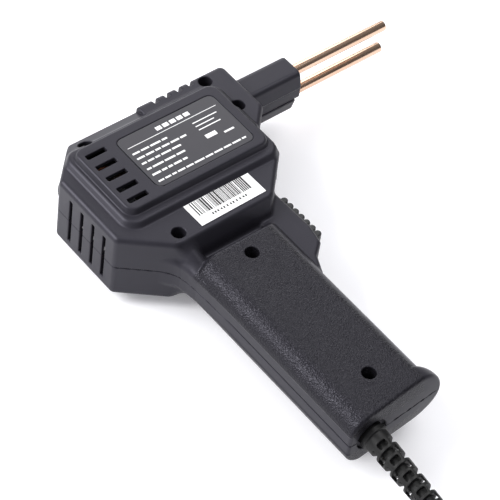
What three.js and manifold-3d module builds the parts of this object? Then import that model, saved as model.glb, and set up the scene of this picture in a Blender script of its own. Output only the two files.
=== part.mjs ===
// Hand-held hot stapler: a pistol-shaped, mains-powered resistance welder with two copper rod
// electrodes, lying on its left side. Millimetres, +X along the barrel, -Y down the handle,
// +Z out of the tool's right side. The parting plane of the housing is z = 0 until the end,
// where the finished group is lifted to stand on z = 0.
import * as THREE from 'three';
import { mergeVertices } from 'three/addons/utils/BufferGeometryUtils.js';
import Module from 'manifold-3d';

const wasm = await Module();
wasm.setup();

// ---------------------------------------------------------------- driving dimensions
const GAP = 0.3;               // clearance between pieces that rest on or in each other
const SEAM = 0.15;             // each half stops this far from the parting plane
const WALL = 2.4;              // moulded wall thickness
const FAR = 400;               // larger than the tool, for cutting boxes

const BODY = {
  rear: -13, top: 59.3, front: 103.4, face: 90.5, half: 20, edge: 2.6,
  rearLow: -6.2, rearHigh: 39.2, topRear: 7.1, frontLow: 25.3, faceHigh: 12.4, faceLow: -3.7,
  foot: -29, footTop: -24.5, rearSlope: 1.157,
};
const PANEL = { long: 86, high: 46.3, top: 26.5, corner: 5, ledge: 3, skirt: 5.4, step: 22.6 };
const LABEL = { x0: 20.6, y0: 4.4, x1: 81, y1: 41, corner: 4, depth: 0.9, plate: 0.35 };
const STICKER = { x: 46.7, y: -13.8, long: 40, high: 16, thick: 0.15, turn: 0.014 };
const VENT = { x: 3.1, y: 39.4, pitch: 8.43, long: 11.5, high: 3, count: 5 };
const REAR_SLOT = { y: 29, pitch: 8.9, wide: 2.3, half: 14.3, deep: 6, count: 4 };
const TOP_SLOT = { x: 57.5, pitch: 7.3, wide: 3.2, deep: 3.6, low: 8, count: 4 };
const BAND = { end: 48, inner: 51.6, drop: 4.6 };
const NOSE = {
  y0: 34.6, y1: 52.4, half: 13, front: 139, edge: 2.4, lip: 3.5, inset: 1.8, back: 2.6, wall: 2,
};
const NECK = { floor: 10.5, padFoot: -33 };
const GRIP = {
  back: 11.6, front: 65.2, half: 16, start: -36.6, end: -152.5, backRound: 10.5, frontRound: 11,
};
const GUARD = { half: 11.5, edge: 2 };
const SHROUD = { half: 9, edge: 2 };
const SLOT = { top: -17.5, low: -51.6, half: 6.1, back: 61 };
const PIVOT = { x: 70.5, y: -14.5, r: 1.25, half: 8.6, ear: 6.4, earTop: 10.5, earX: 4.5, earY: 3 };
const TRIGGER = {
  half: 5.5, rear: 66.5, low: -50.6, top: -19, lobe: 3, lobeR: 3.4, ridgeX: 80.8, ridgeR: 2.2,
  ridgeY: -21.7, pitch: 4.3, ridges: 7,
};
const SWITCH = {
  x0: 46, x1: 59.6, y0: -46, y1: -24, half: 5, plungerY: -36, plungerR: 1.6, bore: 52, back: 54.6,
};
const ROD = { y: 43.9, z: 7.9, r: 3, back: 82, tip: 202.2, hole: 1.1, holeDeep: 8 };
const CLAMP = { x0: 83, x1: 99, y0: 37.4, y1: 48.2, z0: 2.6, z1: 13.2, bore: 3.2, screwX: 91 };
const HOLDER = { back: 127, front: 138.2, bore: 3.2 };
const CORE = { x: 42, y: 23, wide: 57, high: 46, half: 15, leg: 19, window: 28.5, slot: 9.5 };
const COIL = {
  tubeX: 9.8, tubeZ: 15.3, tube: 1.1, outX: 17.9, outZ: 22.5, flange: 1.2, long: 27.8, split: 0.5,
};
const SCREW = { bore: 3.55, seat: 6, head: 3.1, headHigh: 2.3, shank: 1.45, hole: 1.85, boss: 5.2, tip: -11 };
const LEAD = {
  end: -112, clampY: -119.5, clampX: 6.4, halfX: 9.2, halfY: 3.5, high: 3.3, post: 2.6, cord: -204.6,
};
const RELIEF = {
  x: 25.6, back: -146, flange: 8.4, flangeLong: 2.3, neck: 6.1, collar: 7.3, collarLong: 3,
  r: 6.5, tipR: 5.3, end: -210.5, level: 5.5, groove: 1.5, grooveDeep: 1.7, levels: 10,
  sag: 0.15, sagStart: 6,
};
const CORD = { r: 3.3, lane: 6.9, meanR: 39.6, centreY: -283, layers: 4, clear: 0.6 };
const PLUG = {
  wide: 35.3, thick: 13.7, long: 22, nose: 14, noseR: 4.6, startY: -251, pinR: 2, pinLong: 19, pinPitch: 18.6,
};
const WIRE = { r: 1.1, strap: 1.4 };
// Housing screws: x, y and the height of the face that each one sinks into.
const SCREWS = [
  [12, 52.2, 20], [88.3, 53.8, 20], [91.9, 31.6, 20], [15, -19, 20], [39, -45.8, 16], [38, -132.8, 16],
];

const floorZ = -PANEL.top;
const cordX = RELIEF.x;
const cordOuterR = CORD.meanR + CORD.lane / 2;
const coilX = cordX - cordOuterR;
const laneZ = (level) => floorZ + CORD.clear + CORD.r + level * CORD.lane;

// The strain relief sags towards the floor under the cord's weight.
const sagAt = (y) => {
  const out = Math.max(GRIP.end - y, 0);
  return (RELIEF.sag * out ** 2) / (out + RELIEF.sagStart);
};

// ---------------------------------------------------------------- materials
const finish = (color, roughness, metalness = 0) =>
  new THREE.MeshStandardMaterial({ color, roughness, metalness });

const looks = {
  shell: () => finish(0x2b2b2e, 0.55),
  rubber: () => finish(0x161617, 0.7),
  copper: () => finish(0xc98a62, 0.25, 1),
  winding: () => finish(0x8f4a24, 0.4, 0.6),
  brass: () => finish(0xb59a55, 0.35, 1),
  steel: () => finish(0x9a9a9c, 0.35, 1),
  laminate: () => finish(0x55585c, 0.6, 0.8),
  nylon: () => finish(0xe6e2d6, 0.5),
  ceramic: () => finish(0x1d1c1c, 0.75),
  liveWire: () => finish(0x6b3d22, 0.5),
  neutralWire: () => finish(0x2d58a8, 0.5),
  plate: () => finish(0x3a3a3e, 0.35),
  paper: () => finish(0xf2f2f2, 0.6),
};

// ---------------------------------------------------------------- geometry helpers
const welded = (geometry) => {
  const bare = geometry.clone();
  bare.deleteAttribute('normal');
  bare.deleteAttribute('uv');
  return mergeVertices(bare, 1e-4);
};

// A closed geometry as a solid that can be joined and cut.
const solid = (geometry) => {
  const mesh = welded(geometry);
  return new wasm.Manifold(new wasm.Mesh({
    numProp: 3,
    vertProperties: new Float32Array(mesh.attributes.position.array),
    triVerts: new Uint32Array(mesh.index.array),
  }));
};

const geometryOf = (shape) => {
  const { vertProperties, triVerts } = shape.getMesh();
  const geometry = new THREE.BufferGeometry();
  geometry.setAttribute('position', new THREE.BufferAttribute(new Float32Array(vertProperties), 3));
  geometry.setIndex(new THREE.BufferAttribute(new Uint32Array(triVerts), 1));
  return geometry;
};

const joined = (...shapes) => shapes.reduce((sum, shape) => sum.add(shape));
const cut = (shape, ...tools) => tools.reduce((rest, tool) => rest.subtract(tool), shape);

// The same geometry on the other side of the parting plane.
const mirrored = (geometry) => {
  const copy = welded(geometry).scale(1, 1, -1);
  const index = copy.index.array;
  for (let i = 0; i < index.length; i += 3) {
    [index[i], index[i + 1]] = [index[i + 1], index[i]];
  }
  return copy;
};

const box = (x0, y0, z0, x1, y1, z1) => new THREE.BoxGeometry(x1 - x0, y1 - y0, z1 - z0)
  .translate((x0 + x1) / 2, (y0 + y1) / 2, (z0 + z1) / 2);

// A box centred on a point in plan, from its half sizes.
const block = (x, y, halfX, halfY, z0, z1) => box(x - halfX, y - halfY, z0, x + halfX, y + halfY, z1);

// A cylinder along +Z between two heights.
const post = (x, y, z0, z1, r, sides = 16) => new THREE.CylinderGeometry(r, r, z1 - z0, sides)
  .rotateX(Math.PI / 2).translate(x, y, (z0 + z1) / 2);

// A closed outline from corners of [x, y, radius].
const outline = (corners) => {
  const shape = new THREE.Shape();
  corners.forEach(([x, y, r], i) => {
    const here = new THREE.Vector2(x, y);
    const before = new THREE.Vector2(...corners.at(i - 1)).sub(here).setLength(r).add(here);
    const after = new THREE.Vector2(...corners[(i + 1) % corners.length]).sub(here).setLength(r).add(here);
    if (i === 0) shape.moveTo(before.x, before.y);
    else shape.lineTo(before.x, before.y);
    if (r > 0) shape.quadraticCurveTo(x, y, after.x, after.y);
  });
  shape.closePath();
  return shape;
};

// The corners of an anticlockwise outline, moved inwards by a distance.
const inset = (corners, distance) => corners.map(([x, y, r], i) => {
  const here = new THREE.Vector2(x, y);
  const back = here.clone().sub(new THREE.Vector2(...corners.at(i - 1))).normalize();
  const ahead = new THREE.Vector2(...corners[(i + 1) % corners.length]).sub(here).normalize();
  const inward = new THREE.Vector2(-ahead.y, ahead.x);
  const bisector = new THREE.Vector2(-back.y, back.x).add(inward).normalize();
  const stretch = distance / bisector.dot(inward);
  return [x + bisector.x * stretch, y + bisector.y * stretch, r];
});

const rectangle = (x0, y0, x1, y1, r) => [[x0, y0, r], [x1, y0, r], [x1, y1, r], [x0, y1, r]];

// An outline pulled through the parting plane to plus and minus a height, with bevelled edges.
const slab = (corners, height, edge, bevelSegments = 2) => new THREE.ExtrudeGeometry(outline(corners), {
  depth: 2 * (height - edge),
  bevelThickness: edge,
  bevelSize: edge,
  bevelOffset: -edge,
  bevelSegments,
  curveSegments: 4,
}).translate(0, 0, edge - height);

const plain = (shape, depth, curveSegments = 4) =>
  new THREE.ExtrudeGeometry(shape, { depth, bevelEnabled: false, curveSegments });

const layer = (corners, z0, z1) => plain(outline(corners), z1 - z0).translate(0, 0, z0);

// A profile in X and Z pulled along Y.
const alongY = (corners, y0, y1) => plain(outline(corners), y1 - y0, 5)
  .rotateX(Math.PI / 2).translate(0, y1, 0);

// A profile in Y and Z pulled along X.
const alongX = (corners, x0, x1) => plain(outline(corners), x1 - x0)
  .rotateX(Math.PI / 2).rotateZ(Math.PI / 2).translate(x0, 0, 0);

// A profile of [radius, distance] pairs turned around an axis through a point.
const turned = (profile, sides, origin, direction) => {
  const points = profile.map(([r, along]) => new THREE.Vector2(r, along));
  const turn = new THREE.Quaternion().setFromUnitVectors(
    new THREE.Vector3(0, 1, 0),
    new THREE.Vector3(...direction),
  );
  return new THREE.LatheGeometry(points, sides).applyQuaternion(turn).translate(...origin);
};

const bar = (r, long, sides, origin, direction) =>
  turned([[0, 0], [r, 0], [r, long], [0, long]], sides, origin, direction);

// A round tube along a smooth route.
const tube = (route, r, steps, sides = 8) => {
  const section = new THREE.Shape();
  for (let i = 0; i < sides; i += 1) {
    const angle = (2 * Math.PI * i) / sides;
    if (i === 0) section.moveTo(r, 0);
    else section.lineTo(r * Math.cos(angle), r * Math.sin(angle));
  }
  section.closePath();
  const path = new THREE.CatmullRomCurve3(route.map((point) => new THREE.Vector3(...point)));
  return new THREE.ExtrudeGeometry(section, { steps, bevelEnabled: false, extrudePath: path });
};

// ---------------------------------------------------------------- the assembly
const tool = new THREE.Group();

const place = (name, geometry, material) => {
  const mesh = new THREE.Mesh(geometry, material);
  mesh.name = name;
  tool.add(mesh);
};

const placeSolid = (name, shape, material) => place(name, geometryOf(shape), material);

// ---------------------------------------------------------------- housing outlines
// Anticlockwise, seen from the tool's right side.
const bodyCorners = (foot) => [
  [BODY.rear, BODY.rearLow, 4],
  [BODY.rear + (BODY.rearLow - foot) * BODY.rearSlope, foot, 0],
  [BODY.face + foot - BODY.faceLow, foot, 0],
  [BODY.face, BODY.faceLow, 4],
  [BODY.face, BODY.faceHigh, 2],
  [BODY.front, BODY.frontLow, 4],
  [BODY.front, BODY.top, 4],
  [BODY.topRear, BODY.top, 4],
  [BODY.rear, BODY.rearHigh, 4],
];
const neckCorners = [
  [6.5, -21, 0], [11.4, -34, 4], [GRIP.back, -60, 0], [GRIP.front - 1, -60, 0],
  [GRIP.front, -30, 2], [71, -22, 0],
];
const shroudCorners = [
  [58, -68, 0], [65.5, -68, 0], [69.6, -60.5, 3], [77.2, -55.3, 4], [78.6, -44, 3],
  [77.6, -15.4, 3.5], [70, -8, 0], [58, -8, 0],
];
const guardCorners = [
  [46, GRIP.end, 0], [68.6, GRIP.end, 3], [70.8, -146.5, 3], [64.4, -140.6, 3], [46, -140.6, 0],
];
// The grip in X and Z: flat faces, a tight back and a wide finger side.
const gripSection = (margin) => {
  const { back, front, half, backRound, frontRound } = GRIP;
  return [
    [back + margin, margin - half, backRound], [front - margin, margin - half, frontRound],
    [front - margin, half - margin, frontRound], [back + margin, half - margin, backRound],
  ];
};

// ---------------------------------------------------------------- housing forms
const panelForm = () => {
  const { long, high, top, corner, ledge, skirt, step } = PANEL;
  const base = rectangle(-skirt, -skirt, long + skirt, high + skirt, corner + skirt);
  const lip = rectangle(-ledge, -ledge, long + ledge, high + ledge, corner + ledge);
  return joined(solid(slab(base, step, skirt - ledge, 1)), solid(slab(lip, top, ledge, 1)));
};

const outerForm = () => joined(
  solid(slab(bodyCorners(BODY.foot), BODY.half, BODY.edge)),
  solid(slab(neckCorners, NECK.floor, 2)),
  solid(alongY(gripSection(0), GRIP.end, NECK.padFoot)),
  solid(slab(shroudCorners, SHROUD.half, SHROUD.edge)),
  solid(slab(guardCorners, GUARD.half, GUARD.edge)),
  panelForm(),
);

// Cut away above the wall that falls from the body to the neck, and above the edge of the grip pad.
const neckValley = () => solid(alongX([
  [GRIP.start, BODY.half + 1, 0], [GRIP.start, GRIP.half, 0], [NECK.padFoot, NECK.floor, 1],
  [BODY.foot, NECK.floor, 1], [BODY.footTop, BODY.half, 0], [BODY.footTop, BODY.half + 1, 0],
], BODY.rear, BODY.front));

// Cut away above the sloping strip behind the panel, on the rear of the top edge.
const rearBand = () => solid(alongX([
  [BAND.inner, BODY.half, 0], [BODY.top + 1, BODY.half - BAND.drop, 0], [BODY.top + 1, BODY.half + 1, 0],
  [BAND.inner, BODY.half + 1, 0],
], BODY.rear - 1, BAND.end));

const cavity = () => {
  const inner = inset(bodyCorners(BODY.footTop), WALL + 0.4);
  const roof = BODY.half - WALL;
  const underBand = roof - BAND.drop;
  return joined(
    solid(layer(inner, -FAR, underBand)),
    solid(layer(inner, 0, roof)).intersect(solid(box(-FAR, -FAR, 0, FAR, BAND.inner - WALL, roof))),
    solid(layer(inset(neckCorners, WALL), -FAR, NECK.floor - WALL)),
    solid(alongY(gripSection(WALL), GRIP.end + WALL, GRIP.start - WALL)),
    solid(box(WALL, WALL, 0, PANEL.long - WALL, PANEL.high - WALL, PANEL.top - WALL)),
    solid(box(SLOT.back, -57, -FAR, 75.4, -12, SHROUD.half - WALL)),
  );
};

const repeat = (count, make) => joined(...Array.from({ length: count }, (_, i) => solid(make(i))));

const ventSlots = () => repeat(VENT.count, (i) => {
  const y = VENT.y - i * VENT.pitch;
  return box(VENT.x, y - VENT.high / 2, CORE.half, VENT.x + VENT.long, y + VENT.high / 2, FAR);
});
const rearSlots = () => repeat(REAR_SLOT.count, (i) => {
  const y = REAR_SLOT.y - i * REAR_SLOT.pitch;
  const half = REAR_SLOT.wide / 2;
  return box(-FAR, y - half, -1, BODY.rear + REAR_SLOT.deep, y + half, REAR_SLOT.half);
});
const topSlots = () => repeat(TOP_SLOT.count, (i) => {
  const x = TOP_SLOT.x + i * TOP_SLOT.pitch;
  return box(x, BODY.top - TOP_SLOT.deep, TOP_SLOT.low, x + TOP_SLOT.wide, FAR, FAR);
});

// The upper part of the nose, from a height above the parting plane to its top.
const noseForm = (from, front) => {
  const { y0, y1, half, edge } = NOSE;
  const profile = [[y0, -half, edge], [y1, -half, edge], [y1, half, edge], [y0, half, edge + 1]];
  const above = solid(box(-FAR, -FAR, from, FAR, FAR, FAR));
  return solid(alongX(profile, BODY.front - WALL, front)).intersect(above);
};
const noseTongue = () => {
  const { y0, y1, inset: step, lip, front } = NOSE;
  return solid(box(BODY.front + GAP, y0 + step, GAP - lip, front, y1 - step, lip + 0.1));
};
const noseBore = () => {
  const { y0, y1, inset: step, wall, half } = NOSE;
  return solid(box(BODY.front - 6, y0 + step + wall, -FAR, FAR, y1 - step - wall, half - wall));
};

const bosses = () => repeat(SCREWS.length, (i) => {
  const [x, y, top] = SCREWS[i];
  return post(x, y, SEAM, top - 1, SCREW.boss);
});
const screwHoles = (from, to, r) =>
  repeat(SCREWS.length, (i) => post(SCREWS[i][0], SCREWS[i][1], from, to, r));

// Four pillars that hold the transformer core.
const corePillars = () => repeat(4, (i) => block(
  CORE.x + (i % 2 ? 1 : -1) * (CORE.wide / 2 - 5),
  CORE.y + (i < 2 ? 1 : -1) * (CORE.high / 2 - 5),
  2, 2, CORE.half + GAP, PANEL.top - WALL + 0.5,
));

const pivotEar = () => solid(block(PIVOT.x, PIVOT.y, PIVOT.earX, PIVOT.earY, PIVOT.ear, PIVOT.earTop));
const switchRib = () => solid(block(52.8, -35, 5, 1.2, SWITCH.half + GAP, NECK.floor - 1));
const wirePassage = () => solid(box(20, -26, -FAR, 60, -20, NECK.floor - WALL));

// Cuts that both halves share: the trigger's mouth, its pin and the strain relief's hole.
const sharedCuts = () => [
  solid(box(SLOT.back, SLOT.low, -FAR, FAR, SLOT.top, SLOT.half)),
  solid(post(PIVOT.x, PIVOT.y, -1, PIVOT.half + GAP, PIVOT.r + GAP)),
  solid(bar(RELIEF.neck + 0.4, 6, 24, [RELIEF.x, GRIP.end - 1, 0], [0, 1, 0])),
  noseBore(),
];

const halfBlank = () => {
  const walls = outerForm().intersect(solid(box(-FAR, -FAR, SEAM, FAR, FAR, FAR)));
  const hollow = cut(walls, cavity(), wirePassage());
  const fitted = joined(hollow, bosses(), corePillars(), pivotEar(), switchRib());
  return cut(fitted, rearBand(), neckValley(), ventSlots(), rearSlots(), topSlots());
};

const rightHousing = () => cut(
  joined(halfBlank(), noseForm(NOSE.lip, NOSE.front), noseTongue()),
  screwHoles(SCREW.seat, FAR, SCREW.bore),
  screwHoles(-1, FAR, SCREW.hole),
  solid(layer(rectangle(LABEL.x0, LABEL.y0, LABEL.x1, LABEL.y1, LABEL.corner), PANEL.top - LABEL.depth, FAR)),
  ...sharedCuts(),
);

const atClamp = (make) => repeat(2, (i) => make(RELIEF.x + (i ? 1 : -1) * LEAD.clampX, LEAD.clampY));

// The left half, built the same way up and mirrored afterwards. Two posts carry the cord clamp.
const leftHousing = () => cut(
  joined(
    halfBlank(),
    noseForm(NOSE.lip - 0.1, NOSE.front - NOSE.back),
    atClamp((x, y) => post(x, y, -CORD.r - GAP, GRIP.half - 1, LEAD.post)),
  ),
  screwHoles(-1, 1.5 - SCREW.tip, SCREW.hole),
  atClamp((x, y) => post(x, y, -FAR, GRIP.half - 6, SCREW.hole)),
  ...sharedCuts(),
);

placeSolid('right_housing', rightHousing(), looks.shell());
place('left_housing', mirrored(geometryOf(leftHousing())), looks.shell());

// A pan-head screw, its head resting on a height and its shank pointing down.
const screw = (x, y, seat, tip, headR = SCREW.head, headHigh = SCREW.headHigh) => turned([
  [0, tip - seat], [SCREW.shank * 0.6, tip - seat], [SCREW.shank, tip - seat + 1], [SCREW.shank, 0],
  [headR, 0], [headR, headHigh * 0.7], [headR * 0.75, headHigh], [0, headHigh],
], 14, [x, y, seat], [0, 0, 1]);

SCREWS.forEach(([x, y], i) => {
  place(`housing_screw_${i + 1}`, screw(x, y, SCREW.seat + GAP, SCREW.tip), looks.steel());
});

// ---------------------------------------------------------------- labels
place('rating_plate', layer(
  rectangle(LABEL.x0 + GAP, LABEL.y0 + GAP, LABEL.x1 - GAP, LABEL.y1 - GAP, LABEL.corner),
  PANEL.top - LABEL.depth + GAP, PANEL.top - LABEL.depth + GAP + LABEL.plate,
), looks.plate());
place('barcode_sticker', new THREE.BoxGeometry(STICKER.long, STICKER.high, STICKER.thick)
  .rotateZ(STICKER.turn).translate(STICKER.x, STICKER.y, BODY.half + 0.1 + STICKER.thick / 2), looks.paper());

// ---------------------------------------------------------------- trigger and switch
const triggerBody = () => {
  const pad = solid(layer([
    [TRIGGER.rear, TRIGGER.low, 1], [79.6, TRIGGER.low, 2], [80.8, -36, 6], [79.8, TRIGGER.top, 2],
    [74, TRIGGER.top, 0], [TRIGGER.rear, -22.5, 1],
  ], -TRIGGER.half, TRIGGER.half));
  const ridges = repeat(TRIGGER.ridges, (i) => post(
    TRIGGER.ridgeX, TRIGGER.ridgeY - i * TRIGGER.pitch, -TRIGGER.half, TRIGGER.half, TRIGGER.ridgeR, 12,
  ));
  const { lobe, lobeR } = TRIGGER;
  const arm = solid(box(PIVOT.x - lobeR, -24, -lobe, PIVOT.x + lobeR, PIVOT.y, lobe));
  const eye = solid(post(PIVOT.x, PIVOT.y, -lobe, lobe, lobeR));
  return cut(joined(pad, ridges, arm, eye), solid(post(PIVOT.x, PIVOT.y, -FAR, FAR, PIVOT.r + GAP)));
};
placeSolid('trigger', triggerBody(), looks.rubber());
place('trigger_pivot_pin', post(PIVOT.x, PIVOT.y, -PIVOT.half, PIVOT.half, PIVOT.r), looks.steel());

// A wound wire spring around the pin, one leg on the trigger and one towards the handle.
const springRoute = () => {
  const turns = 3;
  const steps = turns * 8;
  const r = 2.15;
  const legs = 5;
  const from = TRIGGER.lobe + 0.8;
  const rise = 1.6;
  const coil = Array.from({ length: steps + 1 }, (_, i) => {
    const angle = (2 * Math.PI * turns * i) / steps;
    return [PIVOT.x + r * Math.cos(angle), PIVOT.y + r * Math.sin(angle), from + (rise * i) / steps];
  });
  return [...coil, [PIVOT.x + r, PIVOT.y + legs, from + rise]];
};
place('trigger_spring', tube(springRoute(), 0.3, 52, 5), looks.steel());

placeSolid('switch_body', cut(
  solid(box(SWITCH.x0, SWITCH.y0, -SWITCH.half, SWITCH.x1, SWITCH.y1, SWITCH.half)),
  solid(bar(SWITCH.plungerR + GAP, FAR, 14, [SWITCH.bore, SWITCH.plungerY, 0], [1, 0, 0])),
), looks.ceramic());
place('switch_plunger', bar(
  SWITCH.plungerR, TRIGGER.rear - GAP - SWITCH.back, 14, [SWITCH.back, SWITCH.plungerY, 0], [1, 0, 0],
), looks.nylon());

// ---------------------------------------------------------------- transformer
const atCore = (halfX, halfZ, y0, y1) => solid(box(CORE.x - halfX, y0, -halfZ, CORE.x + halfX, y1, halfZ));
const coreIron = () => {
  const legHalf = CORE.leg / 2;
  const y0 = CORE.y - CORE.window / 2;
  const y1 = CORE.y + CORE.window / 2;
  return cut(
    atCore(CORE.wide / 2, CORE.half, CORE.y - CORE.high / 2, CORE.y + CORE.high / 2),
    solid(box(CORE.x - legHalf - CORE.slot, y0, -FAR, CORE.x - legHalf, y1, FAR)),
    solid(box(CORE.x + legHalf, y0, -FAR, CORE.x + legHalf + CORE.slot, y1, FAR)),
  );
};
const coilStart = CORE.y - COIL.long / 2;
const coilEnd = CORE.y + COIL.long / 2;
const bobbinForm = () => {
  const { tubeX, tubeZ, tube: wall, outX, outZ, flange } = COIL;
  return cut(
    joined(
      atCore(tubeX + wall, tubeZ + wall, coilStart, coilEnd),
      atCore(outX, outZ, coilStart, coilStart + flange),
      atCore(outX, outZ, coilEnd - flange, coilEnd),
    ),
    atCore(tubeX, tubeZ, -FAR, FAR),
  );
};
const windingForm = (y0, y1) => {
  const { tubeX, tubeZ, tube: wall, outX, outZ } = COIL;
  return cut(
    atCore(outX - 0.6, outZ - 0.6, y0, y1),
    atCore(tubeX + wall + GAP, tubeZ + wall + GAP, -FAR, FAR),
  );
};
const windingSplit = CORE.y + 2.5;
placeSolid('transformer_core', coreIron(), looks.laminate());
placeSolid('bobbin', bobbinForm(), looks.nylon());
const primary = windingForm(coilStart + COIL.flange + GAP, windingSplit - COIL.split / 2);
const secondary = windingForm(windingSplit + COIL.split / 2, coilEnd - COIL.flange - GAP);
placeSolid('primary_winding', primary, looks.winding());
placeSolid('secondary_winding', secondary, looks.winding());

// ---------------------------------------------------------------- electrodes, clamps and holder
const rodLong = ROD.tip - ROD.back;
const rodForm = () => turned([
  [0, 0], [ROD.r - 0.4, 0], [ROD.r, 0.4], [ROD.r, rodLong - 0.3], [ROD.r - 0.3, rodLong],
  [ROD.hole, rodLong], [ROD.hole, rodLong - ROD.holeDeep], [0, rodLong - ROD.holeDeep],
], 20, [ROD.back, ROD.y, ROD.z], [1, 0, 0]);
const rodBore = (r) => solid(bar(r, FAR, 20, [0, ROD.y, ROD.z], [1, 0, 0]));
const clampForm = () => geometryOf(cut(
  solid(box(CLAMP.x0, CLAMP.y0, CLAMP.z0, CLAMP.x1, CLAMP.y1, CLAMP.z1)),
  rodBore(CLAMP.bore),
  solid(post(CLAMP.screwX, ROD.y, ROD.z, FAR, SCREW.hole, 14)),
));
const clampScrew = () => screw(CLAMP.screwX, ROD.y, CLAMP.z1 + GAP, ROD.z + ROD.r + GAP, 2.6, 1.9);
const leadForm = () => tube([
  [60, 31, 19.2], [67, 32, 19], [74, 36, 14.5], [78.4, 38.6, 9.2], [80.8, 39.2, ROD.z], [82.5, 39.2, ROD.z],
], WIRE.strap, 14);

const upperPieces = [
  ['electrode_upper', rodForm, looks.copper],
  ['electrode_clamp_upper', clampForm, looks.brass],
  ['clamp_screw_upper', clampScrew, looks.steel],
  ['secondary_lead_upper', leadForm, looks.copper],
];
upperPieces.forEach(([name, make, look]) => {
  place(name, make(), look());
  place(name.replace('upper', 'lower'), mirrored(make()), look());
});

const holderForm = () => {
  const { y0, y1, inset: step, wall } = NOSE;
  const side = step + wall + GAP;
  const half = NOSE.half - wall - GAP;
  const blank = solid(box(HOLDER.back, y0 + side, -half, HOLDER.front, y1 - side, half));
  const groove = (z0, z1) => solid(box(0, ROD.y - HOLDER.bore, z0, FAR, ROD.y + HOLDER.bore, z1));
  const lower = solid(mirrored(bar(HOLDER.bore, FAR, 20, [0, ROD.y, ROD.z], [1, 0, 0])));
  return cut(blank, rodBore(HOLDER.bore), groove(ROD.z, FAR), lower, groove(-FAR, -ROD.z));
};
placeSolid('electrode_holder', holderForm(), looks.ceramic());

// ---------------------------------------------------------------- wiring
place('thermal_fuse', bar(2.2, 14, 12, [4.5, 17, 0], [0, 1, 0]), looks.ceramic());
place('terminal_block', box(24, -17, -5, 38, -7, 5), looks.nylon());
const wires = [
  ['live_wire', looks.liveWire,
    [[27.2, -111.6, 0], [30, -95, 0], [42, -70, 0], [49, -56, 0], [50.5, -46.4, 0]]],
  ['neutral_wire', looks.neutralWire,
    [[23.9, -111.6, 0], [23, -80, 0], [26, -45, 0], [29, -28, 0], [30, -17.4, 0]]],
  ['switched_wire', looks.liveWire,
    [[55, -23.6, 0], [53, -18, 0], [46, -14, 0], [38.4, -12, 0]]],
  ['primary_wire', looks.winding,
    [[31, -10, 5.4], [31, -9.4, 9], [31, -4.5, 15.4], [31, 2, 16.4], [31, 8.7, 18.6]]],
  ['fuse_wire', looks.neutralWire,
    [[23.6, -12, 0], [13, -10, 0], [5, -1, 0], [4.5, 12, 0], [4.5, 16.4, 0]]],
  ['return_wire', looks.winding,
    [[4.5, 31.8, 0], [4.5, 34.5, 1], [5, 38, 8], [9, 36, 17], [18, 31, 19], [23.8, 30, 19]]],
];
wires.forEach(([name, look, route]) => place(name, tube(route, WIRE.r, 20, 6), look()));

// ---------------------------------------------------------------- cord entry
const sagging = (geometry) => {
  const { position } = geometry.attributes;
  for (let i = 0; i < position.count; i += 1) {
    position.setZ(i, position.getZ(i) - sagAt(position.getY(i)));
  }
  return geometry;
};
const leadRoute = [[RELIEF.x, LEAD.end, 0], [RELIEF.x, LEAD.cord, 0]];
place('inner_lead', sagging(tube(leadRoute, CORD.r, 36, 12)), looks.rubber());
const clampSeat = CORD.r + 2 * GAP;
placeSolid('cord_clamp', cut(
  solid(block(RELIEF.x, LEAD.clampY, LEAD.halfX, LEAD.halfY, clampSeat, clampSeat + LEAD.high)),
  atClamp((x, y) => post(x, y, 0, FAR, SCREW.hole, 14)),
), looks.nylon());
[-1, 1].forEach((side, i) => {
  const x = RELIEF.x + side * LEAD.clampX;
  const form = screw(x, LEAD.clampY, clampSeat + LEAD.high + GAP, -6, 2.4, 1.8);
  place(`cord_clamp_screw_${i + 1}`, form, looks.steel());
});

// Flange inside the handle, collar outside it, then a tapering stack of ribs.
const reliefForm = () => {
  const { back, flange, flangeLong, neck, collar, collarLong, r, tipR, end } = RELIEF;
  const { level, groove, grooveDeep, levels } = RELIEF;
  const bore = CORD.r + 2 * GAP;
  const collarAt = back - GRIP.end + GAP;
  const long = back - end;
  const ribsAt = collarAt + collarLong;
  const ribR = (along) => r + ((tipR - r) * (along - ribsAt)) / (long - ribsAt);
  const profile = [
    [bore, 0], [flange, 0], [flange, flangeLong], [neck, flangeLong], [neck, collarAt], [collar, collarAt],
    [collar, ribsAt],
  ];
  for (let i = 0; i < levels; i += 1) {
    const from = ribsAt + i * level;
    const to = Math.min(from + level, long);
    profile.push(
      [ribR(from) - grooveDeep, from], [ribR(from) - grooveDeep, from + groove], [ribR(from), from + groove],
      [ribR(to), to],
    );
  }
  profile.push([ribR(long), long]);
  const boreSteps = 2 * levels;
  for (let i = boreSteps; i >= 0; i -= 1) {
    profile.push([bore, (long * i) / boreSteps]);
  }
  return sagging(turned(profile, 20, [RELIEF.x, back, 0], [0, -1, 0]));
};
place('strain_relief', reliefForm(), looks.rubber());

// ---------------------------------------------------------------- cord, coil and plug
// The cord leaves the relief at its slope, sinks to the floor in a slow double bend and meets the coil.
const ringR = cordOuterR + CORD.r;
const cordEnd = CORD.centreY + Math.sqrt(ringR ** 2 - (cordOuterR - CORD.r) ** 2) + 2 * GAP;
const cordStart = LEAD.cord - 3 * GAP;
const sinkPoint = (t) => {
  const run = cordStart - cordEnd;
  const eased = t ** 2 * (3 - 2 * t);
  const leaving = t * (1 - t) ** 2 * run * RELIEF.sag;
  return [cordX, cordStart - run * t, (eased - 1) * sagAt(cordStart) + eased * laneZ(0) - leaving];
};
const sinkRoute = Array.from({ length: 13 }, (_, i) => sinkPoint(i / 12));
place('cord', tube(sinkRoute, CORD.r, 12, 10), looks.rubber());

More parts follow.
